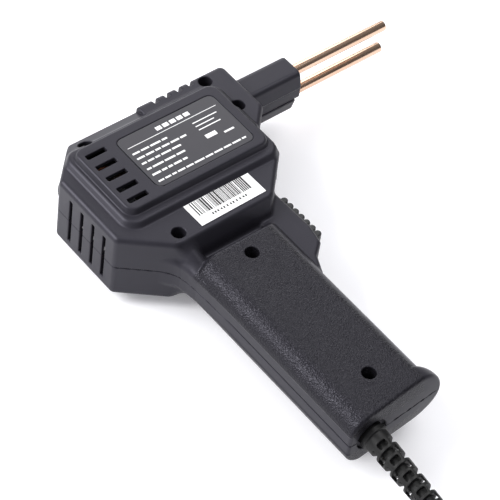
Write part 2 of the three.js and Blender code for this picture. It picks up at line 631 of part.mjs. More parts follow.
const coilProfile = () => {
  const inner = CORD.meanR - CORD.lane / 2 - CORD.r;
  const low = laneZ(0) - CORD.r;
  const high = laneZ(CORD.layers - 1) + CORD.r;
  const edge = CORD.r * 0.6;
  return [
    [inner + edge, low], [ringR - edge, low], [ringR, low + edge], [ringR, high - edge], [ringR - edge, high],
    [inner + edge, high], [inner, high - edge], [inner, low + edge], [inner + edge, low],
  ];
};
place('cord_coil', turned(coilProfile(), 40, [coilX, CORD.centreY, 0], [0, 0, 1]), looks.rubber());

const tailX = coilX - cordOuterR;
place('cord_tail', tube(
  [[tailX, cordEnd, laneZ(0)], [tailX, PLUG.startY - GAP, laneZ(0)]], CORD.r, 2, 10,
), looks.rubber());

const plugZ = laneZ(0) - CORD.r + PLUG.thick / 2;
const plugForm = () => {
  const y1 = PLUG.startY + PLUG.nose + PLUG.long;
  const half = PLUG.thick / 2;
  const section = rectangle(tailX - PLUG.wide / 2, plugZ - half, tailX + PLUG.wide / 2, plugZ + half, half);
  const nose = solid(turned(
    [[0, 0], [PLUG.noseR, 0], [PLUG.noseR + 1.2, PLUG.nose + 2], [0, PLUG.nose + 2]],
    16, [tailX, PLUG.startY, plugZ], [0, 1, 0],
  ));
  return joined(solid(alongY(section, PLUG.startY + PLUG.nose, y1)), nose);
};
placeSolid('plug_body', plugForm(), looks.rubber());
[-1, 1].forEach((side, i) => {
  const x = tailX + (side * PLUG.pinPitch) / 2;
  const y = PLUG.startY + PLUG.nose + PLUG.long + GAP;
  place(`plug_pin_${i + 1}`, bar(PLUG.pinR, PLUG.pinLong, 12, [x, y, plugZ], [0, 1, 0]), looks.brass());
});

// The tool, strain relief included and cord left out, is centred over the origin and stands on z = 0.
tool.position.set(-(BODY.rear + ROD.tip) / 2, -(BODY.top + RELIEF.end) / 2, PANEL.top);
tool.updateMatrixWorld(true);

export default tool;
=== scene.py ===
"""A hand-held hot stapler lying on its left side: the looks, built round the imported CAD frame.

Forms are worked out in millimetres in the tool's drawing frame: +X along the barrel, -Y down the
handle, +Z out of the right side, with the housing's parting plane at z = 0. to_row() takes them to
metres in the row frame, where the tool stands on z = 0.
"""

import math
import random

import bmesh
import bpy
import numpy as np
from mathutils import Matrix, Vector


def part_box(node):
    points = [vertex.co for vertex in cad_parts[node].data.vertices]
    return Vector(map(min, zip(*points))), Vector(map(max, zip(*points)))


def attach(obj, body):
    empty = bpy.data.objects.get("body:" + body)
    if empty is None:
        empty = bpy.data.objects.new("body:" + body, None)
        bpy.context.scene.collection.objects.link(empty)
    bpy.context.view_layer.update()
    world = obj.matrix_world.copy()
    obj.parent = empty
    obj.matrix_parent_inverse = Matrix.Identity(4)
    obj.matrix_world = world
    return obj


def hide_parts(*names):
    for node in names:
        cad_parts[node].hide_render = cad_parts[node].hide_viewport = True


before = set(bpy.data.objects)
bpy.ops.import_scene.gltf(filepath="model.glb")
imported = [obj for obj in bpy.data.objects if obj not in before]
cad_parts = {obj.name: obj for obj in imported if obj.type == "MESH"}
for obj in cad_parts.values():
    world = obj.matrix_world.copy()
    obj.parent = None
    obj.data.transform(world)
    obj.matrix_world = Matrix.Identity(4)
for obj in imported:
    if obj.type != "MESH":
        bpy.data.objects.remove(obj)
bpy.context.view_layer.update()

# ---------------------------------------------------------------- frame and camera
MM = 0.001
REAR, TOP, SIDE = -13.0, 59.3, 26.5  # the housing's rear, top and right side in the drawing frame

housing_low, housing_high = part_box("left_housing")[:2]
SHIFT = Vector((
    housing_low[0] - REAR * MM,
    housing_high[1] - TOP * MM,
    housing_low[2] + SIDE * MM,
))


def to_row(points):
    """Drawing millimetres to row-frame metres."""
    return np.asarray(points, float) * MM + np.array(SHIFT)


def row_point(x, y, z):
    return Vector(to_row((x, y, z)))


CAMERA_AT = (-469.17, -540.79, 827.70)  # in drawing millimetres
CAMERA_RIGHT, CAMERA_UP = (0.77400, -0.62488, 0.10223), (0.42313, 0.63055, 0.65067)
CAMERA_LENS, CAMERA_SENSOR = 162.9, 36.0


def add_camera():
    """A long lens from the tool's rear left and above, rolled a little."""
    data = bpy.data.cameras.new("camera")
    data.sensor_width = CAMERA_SENSOR
    data.lens = CAMERA_LENS
    data.clip_start, data.clip_end = 0.05, 20.0
    camera = bpy.data.objects.new("camera", data)
    right, up = Vector(CAMERA_RIGHT), Vector(CAMERA_UP)
    back = right.cross(up).normalized()
    turn = Matrix((right, up, back)).transposed().to_4x4()
    camera.matrix_world = Matrix.Translation(row_point(*CAMERA_AT)) @ turn
    bpy.context.scene.collection.objects.link(camera)
    bpy.context.scene.camera = camera


add_camera()


# ---------------------------------------------------------------- node materials
class Nodes:
    """A material's node tree, with short calls for what its maker needs."""

    def __init__(self, name):
        self.material = bpy.data.materials.new(name)
        self.material.use_nodes = True
        self.tree = self.material.node_tree
        self.shader = self.tree.nodes["Principled BSDF"]

    def add(self, kind, **settings):
        node = self.tree.nodes.new(kind)
        for key, value in settings.items():
            setattr(node, key, value)
        return node

    def link(self, source, target):
        self.tree.links.new(source, target)

    def feed(self, socket, value):
        """Sets a socket to a number or colour, or links it to another node's output."""
        if isinstance(value, bpy.types.NodeSocket):
            self.link(value, socket)
        else:
            socket.default_value = value

    def math(self, operation, a, b=0.0, clamp=False):
        node = self.add("ShaderNodeMath", operation=operation, use_clamp=clamp)
        self.feed(node.inputs[0], a)
        self.feed(node.inputs[1], b)
        return node.outputs[0]

    def place(self, scale=(1.0, 1.0, 1.0)):
        """Object coordinates, in metres, stretched by a scale."""
        coordinates = self.add("ShaderNodeTexCoord")
        mapping = self.add("ShaderNodeMapping")
        mapping.inputs["Scale"].default_value = scale
        self.link(coordinates.outputs["Object"], mapping.inputs["Vector"])
        return mapping.outputs["Vector"]

    def noise(self, scale, detail=3.0, stretch=(1.0, 1.0, 1.0)):
        node = self.add("ShaderNodeTexNoise")
        self.link(self.place(stretch), node.inputs["Vector"])
        node.inputs["Scale"].default_value = scale
        node.inputs["Detail"].default_value = detail
        return node.outputs["Fac"]

    def cells(self, scale):
        node = self.add("ShaderNodeTexVoronoi", feature="SMOOTH_F1")
        self.link(self.place(), node.inputs["Vector"])
        node.inputs["Scale"].default_value = scale
        return node.outputs["Distance"]

    def span(self, value, low, high, to_low=0.0, to_high=1.0):
        node = self.add("ShaderNodeMapRange")
        self.feed(node.inputs["Value"], value)
        for key, number in (("From Min", low), ("From Max", high), ("To Min", to_low), ("To Max", to_high)):
            node.inputs[key].default_value = number
        return node.outputs["Result"]

    def blend(self, factor, a, b):
        node = self.add("ShaderNodeMix", data_type="RGBA")
        self.feed(node.inputs["Factor"], factor)
        self.feed(node.inputs["A"], a)
        self.feed(node.inputs["B"], b)
        return node.outputs["Result"]

    def bump(self, height, strength, distance, normal=None):
        node = self.add("ShaderNodeBump")
        self.feed(node.inputs["Height"], height)
        self.feed(node.inputs["Strength"], strength)
        node.inputs["Distance"].default_value = distance
        if normal is not None:
            self.link(normal, node.inputs["Normal"])
        self.link(node.outputs["Normal"], self.shader.inputs["Normal"])
        return node.outputs["Normal"]

    def set(self, **values):
        for key, value in values.items():
            self.feed(self.shader.inputs[key.replace("_", " ")], value)


def grey(value, tint=(1.0, 1.0, 1.0)):
    return (value * tint[0], value * tint[1], value * tint[2], 1.0)


COOL = (1.0, 0.95, 1.25)  # the charcoal plastic leans a little to violet


def grain_mask(n):
    """1 on the grained grip, 0 on the plain plastic of the neck, the handle's edges and the finger side."""
    coordinates = n.add("ShaderNodeTexCoord")
    split = n.add("ShaderNodeSeparateXYZ")
    n.link(coordinates.outputs["Object"], split.inputs[0])
    soft = 0.6 * MM

    def below(axis, limit):
        return n.span(split.outputs[axis], limit - soft, limit + soft, 1.0, 0.0)

    head = below(1, row_point(0, PAD_TOP - 0.6, 0).y)
    finger = below(0, row_point(PAD_FRONT, 0, 0).x)
    from_plane = n.math("ABSOLUTE", n.math("SUBTRACT", split.outputs[2], SHIFT.z))
    side = n.span(from_plane, PAD_LOW * MM - soft, PAD_LOW * MM + soft)
    return n.math("MULTIPLY", n.math("MULTIPLY", head, finger), side)


def shell_plastic():
    n = Nodes("charcoal_moulding")
    mask = grain_mask(n)
    fine = n.noise(2600, 2.0)
    cell = n.cells(1700)
    patch = n.noise(45, 4.0)
    tone = n.span(patch, 0.3, 0.7)
    plain = n.blend(tone, grey(0.0125, COOL), grey(0.0155, COOL))
    grain = n.blend(n.span(cell, 0.1, 0.6), grey(0.0095, COOL), grey(0.005, COOL))
    n.set(Base_Color=n.blend(mask, plain, grain))
    plain_rough = n.span(patch, 0.3, 0.7, 0.40, 0.47)
    n.set(Roughness=n.math("SUBTRACT", plain_rough, n.math("MULTIPLY", mask, 0.1)))
    n.set(Specular_IOR_Level=n.span(mask, 0.0, 1.0, 0.32, 0.25), Specular_Tint=(0.93, 0.91, 1.06, 1))
    soft = n.bump(fine, 0.25, 0.00003)
    n.bump(cell, n.math("MULTIPLY", mask, 1.0), 0.0003, soft)
    return n.material


def black_rubber(name="black_rubber", base=0.007, rough=0.5):
    n = Nodes(name)
    mottled = n.noise(300, 4.0)
    n.set(Base_Color=n.blend(mottled, grey(base), grey(base * 1.7)))
    n.set(Roughness=n.span(mottled, 0.3, 0.7, rough - 0.05, rough + 0.08), Specular_IOR_Level=0.3)
    n.bump(n.noise(2200, 2.0), 0.3, 0.00004)
    return n.material


def drawn_copper():
    n = Nodes("drawn_copper")
    streak = n.noise(900, 3.0, (0.03, 1.0, 1.0))
    stain = n.noise(70, 3.0, (0.4, 1.0, 1.0))
    n.set(Base_Color=n.blend(n.span(stain, 0.35, 0.75), (0.74, 0.53, 0.40, 1), (0.66, 0.44, 0.31, 1)))
    n.set(Metallic=1.0, Roughness=n.span(streak, 0.2, 0.8, 0.14, 0.26))
    n.bump(streak, 0.12, 0.00002)
    return n.material


def metal(name, color, low=0.25, high=0.4):
    n = Nodes(name)
    scuff = n.noise(700, 4.0)
    dark = tuple(part * 0.75 for part in color)
    n.set(Base_Color=n.blend(n.span(scuff, 0.35, 0.7), (*color, 1), (*dark, 1)))
    n.set(Metallic=1.0, Roughness=n.span(scuff, 0.2, 0.8, low, high))
    n.bump(scuff, 0.1, 0.00003)
    return n.material


def moulded(name, color, rough=0.5):
    n = Nodes(name)
    patch = n.noise(400, 3.0)
    dark = tuple(part * 0.8 for part in color)
    n.set(Base_Color=n.blend(n.span(patch, 0.3, 0.7), (*color, 1), (*dark, 1)))
    n.set(Roughness=n.span(patch, 0.3, 0.7, rough - 0.06, rough + 0.06))
    n.bump(n.noise(1800, 2.0), 0.2, 0.00003)
    return n.material


def wound_wire():
    """Enamelled wire laid side by side across the coil."""
    n = Nodes("enamelled_wire_and_painted_shade")
    wave = n.add("ShaderNodeTexWave", bands_direction="Y")
    n.link(n.place(), wave.inputs["Vector"])
    wave.inputs["Scale"].default_value = 330
    wave.inputs["Distortion"].default_value = 0.3
    # Both wire colours are kept darker than bare enamel: painted shade for the coil seen through the vents,
    # deep inside the housing.
    n.set(Base_Color=n.blend(wave.outputs["Fac"], (0.05, 0.015, 0.007, 1), (0.20, 0.07, 0.03, 1)))
    n.set(Metallic=0.7, Roughness=n.span(n.noise(300), 0.3, 0.7, 0.28, 0.4))
    n.bump(wave.outputs["Fac"], 0.7, 0.0002)
    return n.material


def laminations():
    """The edges of a stack of thin steel sheets."""
    n = Nodes("laminations")
    wave = n.add("ShaderNodeTexWave", bands_direction="Z")
    n.link(n.place(), wave.inputs["Vector"])
    wave.inputs["Scale"].default_value = 310
    rust = n.noise(160, 5.0)
    sheet = n.blend(wave.outputs["Fac"], (0.03, 0.03, 0.033, 1), (0.12, 0.12, 0.13, 1))
    n.set(Base_Color=n.blend(n.span(rust, 0.55, 0.8), sheet, (0.13, 0.07, 0.04, 1)))
    n.set(Metallic=0.8, Roughness=n.span(rust, 0.3, 0.7, 0.4, 0.6))
    n.bump(wave.outputs["Fac"], 0.4, 0.0001)
    return n.material


def label_film():
    n = Nodes("label_film")
    haze = n.noise(120, 3.0)
    n.set(Base_Color=n.blend(haze, grey(0.020, COOL), grey(0.025, COOL)))
    n.set(Roughness=n.span(haze, 0.3, 0.7, 0.3, 0.38))
    n.bump(n.noise(3000, 2.0), 0.12, 0.00002)
    return n.material


def ink(name, value, rough=0.5):
    n = Nodes(name)
    wear = n.noise(2500, 3.0)
    n.set(Base_Color=n.blend(n.span(wear, 0.55, 0.8), grey(value), grey(value * 0.75)))
    n.set(Roughness=n.span(wear, 0.3, 0.7, rough - 0.05, rough + 0.05))
    return n.material


def label_paper():
    n = Nodes("label_paper")
    fibre = n.noise(1500, 4.0)
    n.set(Base_Color=n.blend(fibre, grey(0.80), grey(0.90)))
    n.set(Roughness=n.span(fibre, 0.3, 0.7, 0.45, 0.6))
    n.bump(fibre, 0.15, 0.00002)
    return n.material


# ---------------------------------------------------------------- distance fields
# A form is a function of x, y and z in millimetres, negative inside and about equal to the distance.
def round_max(a, b, r):
    """Where both forms are, with the edge between them rounded to r."""
    return np.minimum(np.maximum(a, b), -r) + np.hypot(np.maximum(a + r, 0), np.maximum(b + r, 0))


def round_min(a, b, r):
    """Where either form is, with a fillet of r between them."""
    return np.maximum(np.minimum(a, b), r) - np.hypot(np.maximum(r - a, 0), np.maximum(r - b, 0))


def cut_from(a, tool, r=0.3):
    return round_max(a, -tool, r)


def polygon(x, y, corners):
    """Signed distance to a closed outline."""
    nearest, inside = None, False
    for (x0, y0), (x1, y1) in zip(corners, corners[1:] + corners[:1]):
        ex, ey = x1 - x0, y1 - y0
        px, py = x - x0, y - y0
        t = np.clip((px * ex + py * ey) / (ex * ex + ey * ey), 0, 1)
        gap = (px - ex * t) ** 2 + (py - ey * t) ** 2
        nearest = gap if nearest is None else np.minimum(nearest, gap)
        if ey != 0:
            inside = inside ^ (((y0 <= y) != (y1 <= y)) & (px < ex * py / ey))
    return np.where(inside, -1, 1) * np.sqrt(nearest)


def inset(corners, distance):
    """An anticlockwise outline moved inwards."""
    moved = []
    count = len(corners)
    for i in range(count):
        before, here, after = (Vector(corners[(i + k) % count]) for k in (-1, 0, 1))
        back, ahead = (here - before).normalized(), (after - here).normalized()
        inward = Vector((-ahead.y, ahead.x))
        bisector = (Vector((-back.y, back.x)) + inward).normalized()
        moved.append(tuple(here + bisector * (distance / bisector.dot(inward))))
    return moved


def rounded(x, y, corners, r):
    """A closed outline with its outer corners rounded to r."""
    return polygon(x, y, inset(corners, r)) - r


def rectangle(x, y, x0, y0, x1, y1, r=0.0):
    across = np.abs(x - (x0 + x1) / 2) - (x1 - x0) / 2 + r
    along = np.abs(y - (y0 + y1) / 2) - (y1 - y0) / 2 + r
    outside = np.hypot(np.maximum(across, 0), np.maximum(along, 0))
    return outside + np.minimum(np.maximum(across, along), 0) - r


def disc(x, y, cx, cy, r):
    return np.hypot(x - cx, y - cy) - r


def capsule(x, y, z, a, b, ra, rb):
    """A rod with round ends whose radius goes from ra to rb."""
    ax, ay, az = a
    dx, dy, dz = b[0] - ax, b[1] - ay, b[2] - az
    t = np.clip(((x - ax) * dx + (y - ay) * dy + (z - az) * dz) / (dx * dx + dy * dy + dz * dz), 0, 1)
    off = np.sqrt((x - ax - dx * t) ** 2 + (y - ay - dy * t) ** 2 + (z - az - dz * t) ** 2)
    return off - (ra + (rb - ra) * t)


def surface_net(form, low, high, step):
    """Points and quads of a form's surface, on a grid of the given step."""
    axes = [np.arange(a, b + step, step, dtype=np.float32) for a, b in zip(low, high)]
    x, y, z = axes[0][:, None, None], axes[1][None, :, None], axes[2][None, None, :]
    field = np.broadcast_to(form(x, y, z), (len(axes[0]), len(axes[1]), len(axes[2]))).astype(np.float32)
    inside = field < 0
    count = np.zeros([n - 1 for n in field.shape], np.int8)
    corners = [(i, j, k) for i in (0, 1) for j in (0, 1) for k in (0, 1)]
    nx, ny, nz = count.shape
    for i, j, k in corners:
        count += inside[i:i + nx, j:j + ny, k:k + nz]
    cells = np.argwhere((count > 0) & (count < 8))
    number = np.full(count.shape, -1, np.int32)
    number[tuple(cells.T)] = np.arange(len(cells))
    total, hits = np.zeros((len(cells), 3)), np.zeros(len(cells))
    for start in corners:
        for axis in range(3):
            if start[axis]:
                continue
            end = list(start)
            end[axis] = 1
            first = field[tuple((cells + start).T)]
            second = field[tuple((cells + end).T)]
            crossed = (first < 0) != (second < 0)
            share = np.where(crossed, first / np.where(crossed, first - second, 1), 0)
            point = cells + np.array(start, float)
            point[:, axis] += share
            total += point * crossed[:, None]
            hits += crossed
    points = np.array(low) + step * total / hits[:, None]
    quads = []
    for axis in range(3):
        u, v = (axis + 1) % 3, (axis + 2) % 3
        first = inside[tuple(slice(0, -1) if a == axis else slice(1, -1) for a in range(3))]
        second = inside[tuple(slice(1, None) if a == axis else slice(1, -1) for a in range(3))]
        for leaving in (True, False):
            edge = np.argwhere((first & ~second) if leaving else (~first & second))
            edge[:, u] += 1
            edge[:, v] += 1
            ring = []
            for du, dv in ((1, 1), (0, 1), (0, 0), (1, 0)):
                cell = edge.copy()
                cell[:, u] -= du
                cell[:, v] -= dv
                ring.append(number[tuple(cell.T)])
            quads.append(np.stack(ring if leaving else ring[::-1], 1))
    return points, np.concatenate(quads)


def gradient(form, points, reach):
    slopes = []
    for axis in range(3):
        ahead, behind = points.copy(), points.copy()
        ahead[:, axis] += reach
        behind[:, axis] -= reach
        slopes.append((form(*ahead.T) - form(*behind.T)) / (2 * reach))
    return np.stack(slopes, 1)


def settle(form, points, rounds, reach=0.03):
    """Moves points onto the form's surface."""
    for _ in range(rounds):
        value = form(*points.T)
        slope = gradient(form, points, reach)
        steepness = np.maximum((slope ** 2).sum(1), 0.2)
        move = np.clip(value / steepness, -0.5, 0.5)
        points = points - slope * move[:, None]
    return points


def mesh_of(name, points, faces, normals=None):
    mesh = bpy.data.meshes.new(name)
    mesh.from_pydata([tuple(p) for p in to_row(points)], [], [tuple(int(i) for i in f) for f in faces])
    mesh.shade_smooth()
    if normals is not None:
        mesh.normals_split_custom_set_from_vertices([tuple(n) for n in normals])
    return mesh


def piece(name, mesh, material, body="housing", replaces=()):
    made = bpy.data.objects.new(name, mesh)
    bpy.context.scene.collection.objects.link(made)
    made.data.materials.append(material)
    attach(made, body)
    if replaces:
        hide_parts(*replaces)
    return made


def thinned(points, quads, ratio):
    """The same surface with fewer, larger faces where it is flat."""
    mesh = bpy.data.meshes.new("raw")
    mesh.from_pydata([tuple(p) for p in points], [], [tuple(int(i) for i in q) for q in quads])
    raw = bpy.data.objects.new("raw", mesh)
    bpy.context.scene.collection.objects.link(raw)
    reduce = raw.modifiers.new("reduce", "DECIMATE")
    reduce.ratio = ratio
    bpy.context.view_layer.update()
    result = bpy.data.meshes.new_from_object(raw.evaluated_get(bpy.context.evaluated_depsgraph_get()))
    kept = np.empty(len(result.vertices) * 3)
    result.vertices.foreach_get("co", kept)
    faces = [list(face.vertices) for face in result.polygons]
    bpy.data.objects.remove(raw)
    bpy.data.meshes.remove(mesh)
    bpy.data.meshes.remove(result)
    return kept.reshape(-1, 3), faces


def formed_mesh(name, form, low, high, step, ratio=1.0, mirror=False):
    points, faces = surface_net(form, low, high, step)
    points = settle(form, points, 3)
    if ratio < 1:
        points, faces = thinned(points, faces, ratio)
        points = settle(form, points, 1)
    normals = gradient(form, points, 0.12)
    normals /= np.linalg.norm(normals, axis=1)[:, None] + 1e-9
    if mirror:
        points, normals = points * (1, 1, -1), normals * (1, 1, -1)
        faces = [list(face)[::-1] for face in faces]
    return mesh_of(name, points, faces, normals)


# ---------------------------------------------------------------- housing
SEAM = 0.05
WALL = 2.4
BODY_HALF, BODY_CORNER, BODY_EDGE = 20.0, 3.5, 2.8  # the body's half depth and its rounding
FOOT_Y, FOOT_LONG, FOOT_DEEP = -24.5, 4.5, 9.5  # the body's lower edge slopes in towards the handle
PANEL_TOP, PANEL_STEP, PANEL_LONG, PANEL_HIGH = 26.5, 22.9, 86.0, 46.3
PANEL_CORNER, PANEL_SLOPE = 5.0, 0.32
SKIRT_OUT, SKIRT_LOW, SKIRT_CORNER, SKIRT_SLOPE, SKIRT_INSET = 5.4, 7.4, 9.0, 0.83, 0.9
BAND_END, BAND_Y, BAND_DROP, BAND_WIDE = 48.6, 51.6, 4.6, 7.7  # the chamfer along the top's rear
PAD_TOP, PAD_FRONT, PAD_LOW = -36.6, 58.0, 6.3  # where the grained grip starts
PAD_CORNER, PAD_SLOPE, PAD_PROUD = 13.0, 0.55, 0.35
GRIP_END, GRIP_HALF = -152.5, 16.0
END_LEAN, END_LEAN_X = 0.06, 36.0  # the handle's end leans from here to the finger side
END_CROWN, END_CROWN_X, END_CROWN_LONG = 1.6, 20.0, 20.0  # and is crowned, more and more from here
BACK_X, BACK_Z, BACK_R = 22.6, 5.2, 10.8  # the grip's round back
FINGER_X, FINGER_WIDE, LIP_OUT = 54.0, 11.2, 5.3  # its finger side, and how far the lip stands out
LIP_START, LIP_LONG = -141.2, 6.5  # the lip that stops the little finger
BODY = [
    (-13, -6.2), (13.8, -29), (65.2, -29), (90.5, -3.7), (90.5, 12.4),
    (103.4, 25.3), (103.4, 59.3), (7.1, 59.3), (-13, 39.2),
]
NECK = [
    (2, -13), (8.2, -25.6), (9.7, -29.5), (10.6, -34), (11.2, -40), (11.5, -49), (12.8, -70),
    (64, -70), (65.2, -30), (71, -20),
]
NECK_TOP, NECK_RISE = 6.6, 2.5  # the neck's level, and how much higher it is towards the rear
NECK_RISE_X, NECK_RISE_LONG = 24.0, 8.0  # where that rise starts, and how long it takes
RIDGE = ((15.5, -22, 14.5), (18.5, -38, 4.5), 4.3, 5.0)  # from the body's corner down to the neck
SHROUD_HALF, SHROUD_CORNER, SHROUD_EDGE = 9.0, 2.0, 2.2
SHROUD = [
    (58, -70), (64.6, -70), (69.2, -60.3), (76.2, -54.6), (78.4, -44), (77.6, -15.4), (70, -8), (58, -8),
]
SCREWS = [(12, 52.2), (88.3, 53.8), (91.9, 31.6), (15, -19), (39, -45.8), (38, -132.8)]
SCREW_HOLE, SCREW_BORE, SCREW_SEAT, SCREW_POST, SCREW_END = 1.85, 3.55, 6.0, 5.2, 12.5
LABEL, LABEL_CORNER, LABEL_FLOOR = (20.6, 4.4, 81.0, 41.0), 4.0, 25.6
VENT_X, VENT_Y, VENT_PITCH, VENT_LONG, VENT_HALF, VENT_FLOOR = 3.1, 39.4, 8.43, 11.5, 1.5, 15.0
REAR_SLOT_Y, REAR_SLOT_PITCH, REAR_SLOT_HALF, REAR_SLOT_REACH, REAR_SLOT_DEEP = 29.0, 8.9, 1.15, 14.3, 6.0
TOP_SLOT_X, TOP_SLOT_PITCH, TOP_SLOT_WIDE, TOP_SLOT_Y, TOP_SLOT_LOW = 57.5, 7.3, 3.2, 55.7, 8.0
SWITCH_ROOM, SWITCH_HALF = (45.6, -46.4, 61, -23.6), 5.4
TRIGGER_MOUTH, MOUTH_HALF = (61, -51.6, 200, -17.5), 6.1
NOSE = [(32.7, -5), (52.3, -5), (52.3, 13.05), (37.2, 13.05)]  # its section, as (y, z)
NOSE_CORNER, NOSE_START = 3.2, 99.0
NOSE_RIGHT, NOSE_LEFT = (139, 3.5), (136.4, 3.8)  # each half's front, and where its lap begins
TONGUE, TONGUE_START = (35.4, -3.4, 51.2, 4.5), 103.7  # the right half's filling between the rods
ROD_SLOT, ROD_SLOT_START = (38.4, -30, 48.6, 11), 97.4
SLITS, SLIT_LONG, SLIT_WIDE, SLIT_DEEP = (40.7, 49.3, 58.1), 2.2, 1.1, 3.5  # across the parting line
RELIEF_X = 25.6
POCKET_R, POCKET_DEEP = 8.7, 1.9  # the seat of the strain relief in the handle's end
OUTLET_R, OUTLET_DEEP = 6.5, 12.5


def plate_form(plan, z, top, edge):
    """An outline raised to a height, its upper edge rounded."""
    return round_max(plan, z - top, edge)


def body_form(x, y, z):
    side = plate_form(rounded(x, y, BODY, BODY_CORNER), z, BODY_HALF, BODY_EDGE)
    foot = (z - BODY_HALF) * FOOT_LONG - (y - FOOT_Y) * FOOT_DEEP
    body = round_max(side, foot / math.hypot(FOOT_LONG, FOOT_DEEP), 1.4)
    strip = (y - BAND_Y) * BAND_DROP + (z - BODY_HALF) * BAND_WIDE
    strip = strip / math.hypot(BAND_DROP, BAND_WIDE)
    return round_max(body, np.minimum(strip, BAND_END - x), 0.7)


def panel_form(x, y, z):
    """A raised slab with sloping sides, on a skirt that slopes out to the body's face."""
    crown = rectangle(x, y, 0, 0, PANEL_LONG, PANEL_HIGH, PANEL_CORNER)
    crown = crown - (PANEL_TOP - z) * PANEL_SLOPE
    far_x, far_y = PANEL_LONG + SKIRT_OUT, PANEL_HIGH + SKIRT_OUT
    skirt = rectangle(x, y, -SKIRT_OUT, -SKIRT_LOW, far_x, far_y, SKIRT_CORNER)
    skirt = skirt + (z - BODY_HALF) * SKIRT_SLOPE
    skirt = round_max(skirt, rounded(x, y, BODY, BODY_CORNER) + SKIRT_INSET, 1.5)
    return round_min(plate_form(skirt, z, PANEL_STEP, 0.9), plate_form(crown, z, PANEL_TOP, 0.9), 0.5)


def end_form(x, y, z):
    """The handle's end: leaning a little, and crowned towards the finger side."""
    lean = END_LEAN * np.maximum(x - END_LEAN_X, 0)
    crown = END_CROWN * (z / GRIP_HALF) ** 2 * np.clip((x - END_CROWN_X) / END_CROWN_LONG, 0, 1)
    return GRIP_END + lean + crown - y


def grip_form(x, y, z):
    """Flat sides, a round back, a finger side like a quarter ellipse, and the pad a little proud."""
    back = np.hypot(np.minimum(x - BACK_X, 0), np.maximum(z - BACK_Z, 0)) - BACK_R
    back = np.where(x < BACK_X, back, z - GRIP_HALF)
    flare = np.clip((LIP_START - y) / LIP_LONG, 0, 1)
    flare = np.sqrt(np.clip(1 - (1 - flare) ** 2, 0, 1))
    wide = FINGER_WIDE + LIP_OUT * flare
    u, v = np.maximum(x - FINGER_X, 0) / wide, z / GRIP_HALF
    far = np.sqrt(u * u + v * v) + 1e-6
    front = far * (far - 1) / np.sqrt((u / wide) ** 2 + (v / GRIP_HALF) ** 2 + 1e-9)
    section = np.where(x > FINGER_X, np.maximum(front, z - GRIP_HALF), back)
    plain = np.clip(PAD_LOW - z + 0.5, 0, 1)
    section = section + PAD_PROUD * plain * (x < 40)
    plan = rectangle(x, y, BACK_X - BACK_R, GRIP_END - 60, 200, PAD_TOP, PAD_CORNER)
    plan = plan - (GRIP_HALF - z) * PAD_SLOPE
    return round_max(round_max(section, plan, 0.8), end_form(x, y, z), 1.6)


def outer_form(x, y, z):
    """The closed outside of both halves: body, panel, neck, grip and trigger shroud."""
    z = np.abs(z)
    body = round_min(body_form(x, y, z), panel_form(x, y, z), 0.7)
    top = NECK_TOP + NECK_RISE * np.clip((NECK_RISE_X - x) / NECK_RISE_LONG, 0, 1)
    neck = round_max(rounded(x, y, NECK, 1.0), z - top, 2.5)
    shroud = plate_form(rounded(x, y, SHROUD, SHROUD_CORNER), z, SHROUD_HALF, SHROUD_EDGE)
    handle = round_min(round_min(neck, capsule(x, y, z, *RIDGE), 3.0), grip_form(x, y, z), 0.7)
    return round_min(round_min(body, handle, 2.2), shroud, 1.6)


def vents(x, y, z):
    """Five slots in the panel, four across the rear and four over the top edge."""
    cuts = []
    for i in range(5):
        middle = VENT_Y - i * VENT_PITCH
        low, high = middle - VENT_HALF, middle + VENT_HALF
        slot = rectangle(x, y, VENT_X, low, VENT_X + VENT_LONG, high, 0.4)
        cuts.append(np.maximum(slot, VENT_FLOOR - z))
    for i in range(4):
        middle = REAR_SLOT_Y - i * REAR_SLOT_PITCH
        low, high = middle - REAR_SLOT_HALF, middle + REAR_SLOT_HALF
        slot = rectangle(y, z, low, -REAR_SLOT_REACH, high, REAR_SLOT_REACH, 0.4)
        cuts.append(np.maximum(slot, x - (REAR + REAR_SLOT_DEEP)))
        start = TOP_SLOT_X + i * TOP_SLOT_PITCH
        across = np.maximum(start - x, x - start - TOP_SLOT_WIDE)
        cuts.append(round_max(across, np.maximum(TOP_SLOT_Y - y, TOP_SLOT_LOW - z), 0.3))
    return cuts


